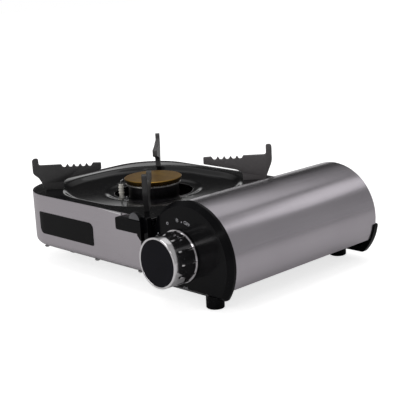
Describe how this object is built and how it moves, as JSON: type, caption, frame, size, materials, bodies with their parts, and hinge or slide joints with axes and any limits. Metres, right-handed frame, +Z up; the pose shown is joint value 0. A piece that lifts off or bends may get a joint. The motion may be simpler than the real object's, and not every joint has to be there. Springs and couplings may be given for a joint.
{
  "type": "cassette gas stove",
  "caption": "Portable tabletop gas stove: brushed steel burner box with a sunken black deck and notched pan supports, beside a round-lidded canister bay with a chrome knob.",
  "frame": {"origin": "centre of the footprint on the ground", "axes": "+Z up, +X from the burner box to the canister bay, -Y the side with the knob"},
  "size_m": [0.366, 0.284, 0.1315],
  "materials": {
    "stainless": "fine brushed, satin",
    "black_enamel": "gloss enamel",
    "zinc_steel": "zinc plated, dull",
    "bare_aluminium": "cast, matt",
    "burner_alloy": "gloss black coating",
    "brass": "satin",
    "chrome": "polished",
    "black_plastic": "semi-gloss moulded",
    "dark_plastic": "matt moulded",
    "knob_black": "gloss with plain marks",
    "badge_black": "gloss, bare",
    "white_plastic": "matt",
    "rubber": "matt",
    "lead_rubber": "matt silicone",
    "ceramic": "unglazed white",
    "steel": "bright"
  },
  "bodies": {
    "stove": {"body_shell": "stainless", "bottom_plate": "zinc_steel", "bottom_screws": "steel", "box_feet": "rubber", "burner_body": "burner_alloy", "burner_bracket": "zinc_steel", "burner_cap": "brass", "burner_ring": "chrome", "burner_screws": "steel", "can_probe": "brass", "can_seal": "rubber", "can_seat": "white_plastic", "can_tray": "zinc_steel", "cap_screws": "steel", "deck_brackets": "zinc_steel", "electrode_clip": "zinc_steel", "electrode_insulator": "ceramic", "electrode_wire": "steel", "foot_screws": "steel", "front_bulkhead": "zinc_steel", "front_cap": "black_plastic", "gas_jet": "brass", "gas_tube": "brass", "governor_body": "bare_aluminium", "governor_cover": "bare_aluminium", "governor_diaphragm": "rubber", "governor_screws": "steel", "governor_spring": "steel", "heat_conductor": "bare_aluminium", "heat_partition": "zinc_steel", "hinge_pins": "steel", "igniter_body": "dark_plastic", "ignition_lead": "lead_rubber", "jet_holder": "zinc_steel", "lid_buffers": "rubber", "mixing_tube": "steel", "name_plate": "badge_black", "pan_support_back_left": "black_enamel", "pan_support_back_right": "black_enamel", "pan_support_front_left": "black_enamel", "pan_support_front_right": "black_enamel", "rear_bulkhead": "zinc_steel", "rear_cap": "black_plastic", "support_keepers": "zinc_steel", "top_deck": "black_enamel", "tube_nut": "brass", "valve_housing": "brass"},
    "knob": {"knob_shell": "chrome", "knob_insert": "knob_black", "knob_flange": "chrome", "valve_spindle": "steel", "ignition_cam": "dark_plastic"},
    "lid": {"lid_shell": "stainless"},
    "lever": {"lock_lever": "black_plastic", "lever_cam_plate": "zinc_steel"},
    "carriage": {"carriage": "zinc_steel", "carriage_pin": "steel", "carriage_rails": "dark_plastic"},
    "plunger": {"igniter_plunger": "white_plastic"}
  },
  "joints": [
    {"name": "knob_turn", "type": "hinge", "parent": "stove", "child": "knob", "pos_m": [0.1105, -0.125, 0.054], "axis": [0, -1, 0], "range_deg": [0, 165]},
    {"name": "lid_open", "type": "hinge", "parent": "stove", "child": "lid", "pos_m": [0.07833, 0.0165, 0.08752], "axis": [0, -1, 0], "range_deg": [0, 85]},
    {"name": "lever_press", "type": "slide", "parent": "stove", "child": "lever", "axis": [0, 0, -1], "range_m": [0, 0.014]},
    {"name": "carriage_slide", "type": "slide", "parent": "stove", "child": "carriage", "axis": [0, -1, 0], "range_m": [0, 0.008]},
    {"name": "plunger_press", "type": "slide", "parent": "stove", "child": "plunger", "axis": [0, 0, -1], "range_m": [0, 0.003]}
  ],
  "couplings": [
    {"joint": "carriage_slide", "follows": "lever_press", "ratio": 0.57143},
    {"joint": "plunger_press", "follows": "knob_turn", "m_per_rad": 0.001041}
  ]
}
